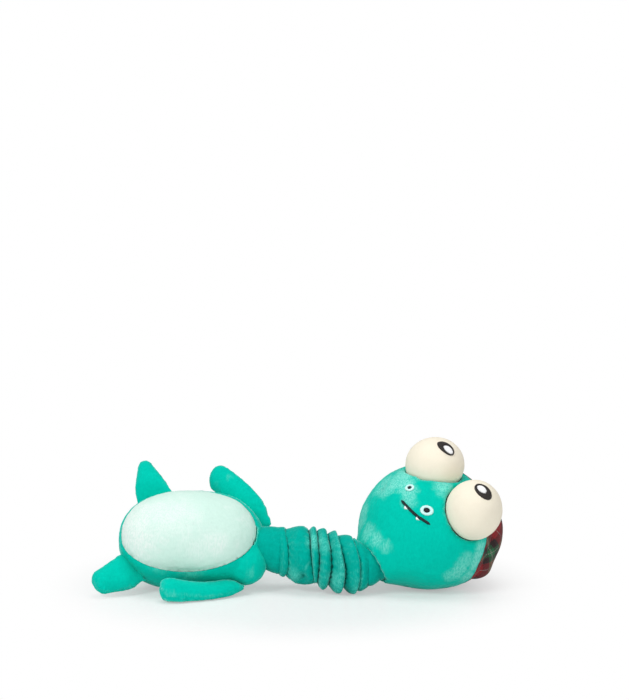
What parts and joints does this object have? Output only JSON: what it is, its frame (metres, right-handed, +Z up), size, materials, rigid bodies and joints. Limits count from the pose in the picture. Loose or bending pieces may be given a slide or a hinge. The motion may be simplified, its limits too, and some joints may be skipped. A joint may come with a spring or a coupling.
{
  "type": "plush dog toy",
  "caption": "Stuffed plush dog toy with an egg-shaped torso, soft limbs, a gathered stretch neck over an elastic cord, and a round head with ball eyes and a check panel.",
  "frame": {"origin": "middle of the bounding box in plan, on the plane of the floor", "axes": "+Z up, +X along the toy from its rump to its head, -Y towards the side that the belly and the face look out of"},
  "size_m": [0.297, 0.12, 0.1096],
  "materials": {
    "teal_plush": "short-pile plush",
    "pale_plush": "short-pile plush",
    "cream_plush": "velboa, very short pile",
    "fibrefill": "polyester fibrefill",
    "black_thread": "satin-stitch embroidery",
    "white_thread": "satin-stitch embroidery",
    "mint_thread": "satin-stitch embroidery",
    "check_cloth": "woven check cloth in red, green and black",
    "elastic_cord": "braided elastic cord",
    "webbing": "woven tape",
    "squeaker_plastic": "soft PVC"
  },
  "bodies": {
    "torso": {"torso_plush": "teal_plush", "belly_panel": "pale_plush", "torso_stuffing": "fibrefill", "torso_squeaker_base": "squeaker_plastic", "torso_squeaker_reed": "squeaker_plastic", "torso_anchor": "webbing"},
    "torso_press": {"torso_squeaker_bellows": "squeaker_plastic"},
    "near_arm": {"near_arm": "teal_plush"},
    "far_arm": {"far_arm": "teal_plush"},
    "near_leg": {"near_leg": "teal_plush"},
    "far_leg": {"far_leg": "teal_plush"},
    "neck": {"neck_sleeve": "teal_plush", "bungee_cord": "elastic_cord"},
    "neck_end": {"head_anchor": "webbing"},
    "head_swivel": {"neck_seam_ring": "teal_plush"},
    "head": {"head_plush": "teal_plush", "head_stuffing": "fibrefill", "head_squeaker_base": "squeaker_plastic", "head_squeaker_reed": "squeaker_plastic", "check_panel": "check_cloth", "left_stitched_eye": "mint_thread", "left_stitched_pupil": "black_thread", "right_stitched_eye": "mint_thread", "right_stitched_pupil": "black_thread", "mouth_stitch": "black_thread", "left_tooth": "white_thread", "right_tooth": "white_thread"},
    "head_press": {"head_squeaker_bellows": "squeaker_plastic"},
    "upper_eye": {"upper_eye_ball": "cream_plush", "upper_pupil": "black_thread", "upper_glint": "white_thread"},
    "lower_eye": {"lower_eye_ball": "cream_plush", "lower_pupil": "black_thread", "lower_glint": "white_thread"}
  },
  "joints": [
    {"name": "belly_press", "type": "slide", "parent": "torso", "child": "torso_press", "axis": [0, 0.7986, -0.6018], "range_m": [0, 0.007], "stiffness_N_per_m": 150, "deforming": ["torso_squeaker_bellows"]},
    {"name": "near_arm_flap", "type": "hinge", "parent": "torso", "child": "near_arm", "pos_m": [-0.03677, -0.01838, 0.01264], "axis": [-0.8637, 0.2388, 0.4438], "range_deg": [-35, 12], "stiffness_Nm_per_rad": 0.03},
    {"name": "far_arm_flap", "type": "hinge", "parent": "torso", "child": "far_arm", "pos_m": [-0.02777, 0.016, 0.04611], "axis": [-0.9338, 0.0445, -0.3552], "range_deg": [-10, 45], "stiffness_Nm_per_rad": 0.03},
    {"name": "near_leg_flap", "type": "hinge", "parent": "torso", "child": "near_leg", "pos_m": [-0.11777, -0.01989, 0.01672], "axis": [0.4892, -0.4752, -0.7314], "range_deg": [-30, 30], "stiffness_Nm_per_rad": 0.03},
    {"name": "far_leg_flap", "type": "hinge", "parent": "torso", "child": "far_leg", "pos_m": [-0.10477, 0.01054, 0.06594], "axis": [-0.9181, 0.0913, -0.3856], "range_deg": [-40, 40], "stiffness_Nm_per_rad": 0.03},
    {"name": "neck_swing", "type": "hinge", "parent": "torso", "child": "neck", "pos_m": [-0.02527, -0.00488, 0.0315], "axis": [0, 0, 1], "range_deg": [-25, 25], "stiffness_Nm_per_rad": 0.2, "deforming": ["neck_sleeve", "bungee_cord"]},
    {"name": "neck_stretch", "type": "slide", "parent": "neck", "child": "neck_end", "axis": [1, 0, 0], "range_m": [0, 0.08], "stiffness_N_per_m": 60, "deforming": ["neck_sleeve", "bungee_cord"]},
    {"name": "head_nod", "type": "hinge", "parent": "neck_end", "child": "head_swivel", "pos_m": [0.05672, -0.01506, 0.02233], "axis": [0.5995, -0.5729, -0.5589], "range_deg": [-18, 18], "stiffness_Nm_per_rad": 0.2, "deforming": ["neck_sleeve", "bungee_cord"]},
    {"name": "head_turn", "type": "hinge", "parent": "head_swivel", "child": "head", "pos_m": [0.05672, -0.01506, 0.02233], "axis": [0.8003, 0.4263, 0.4216], "range_deg": [-40, 40], "stiffness_Nm_per_rad": 0.15},
    {"name": "head_press", "type": "slide", "parent": "head", "child": "head_press", "axis": [0.2603, 0.7647, -0.5895], "range_m": [0, 0.007], "stiffness_N_per_m": 150, "deforming": ["head_squeaker_bellows"]},
    {"name": "upper_eye_rock", "type": "hinge", "parent": "head", "child": "upper_eye", "pos_m": [0.09893, 0.00197, 0.08824], "axis": [0.4603, -0.635, -0.6204], "range_deg": [-12, 12], "stiffness_Nm_per_rad": 0.03},
    {"name": "lower_eye_rock", "type": "hinge", "parent": "head", "child": "lower_eye", "pos_m": [0.12718, -0.02808, 0.06258], "axis": [0.4603, -0.635, -0.6204], "range_deg": [-12, 12], "stiffness_Nm_per_rad": 0.03}
  ]
}
